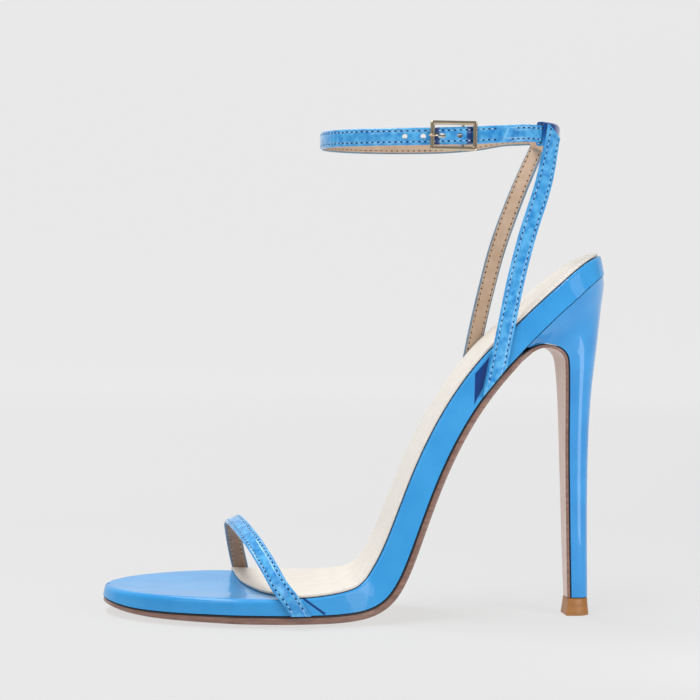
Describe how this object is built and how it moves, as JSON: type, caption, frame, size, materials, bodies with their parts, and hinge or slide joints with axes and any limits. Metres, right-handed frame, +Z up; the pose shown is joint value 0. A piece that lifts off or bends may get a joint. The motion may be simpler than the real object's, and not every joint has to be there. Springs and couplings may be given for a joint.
{
  "type": "strappy heeled sandal",
  "caption": "Open sandal on a tall slim heel, with a slanted toe strap, arms rising from the waist and a buckled ankle strap.",
  "frame": {"origin": "on the floor, at the middle of the flat spot under the ball of the foot", "axes": "toe to -X, heel to +X, outer side with the buckle to -Y, inner side to +Y, +Z up"},
  "size_m": [0.1818, 0.0857, 0.1813],
  "materials": {
    "patent_leather": "light blue patent, mirror gloss",
    "lining_leather": "smooth cream, semi-matt",
    "sole_leather": "brown, waxed edge",
    "top_piece": "tan, satin",
    "buckle_metal": "pale gold plating, polished"
  },
  "bodies": {
    "root": {"outsole": "sole_leather", "wrapped_insole": "patent_leather", "sock_lining": "lining_leather", "heel": "patent_leather", "top_piece": "top_piece", "toe_strap": "patent_leather", "back_strap": "patent_leather", "ankle_strap": "patent_leather", "buckle": "buckle_metal", "buckle_prong": "buckle_metal"}
  },
  "joints": []
}
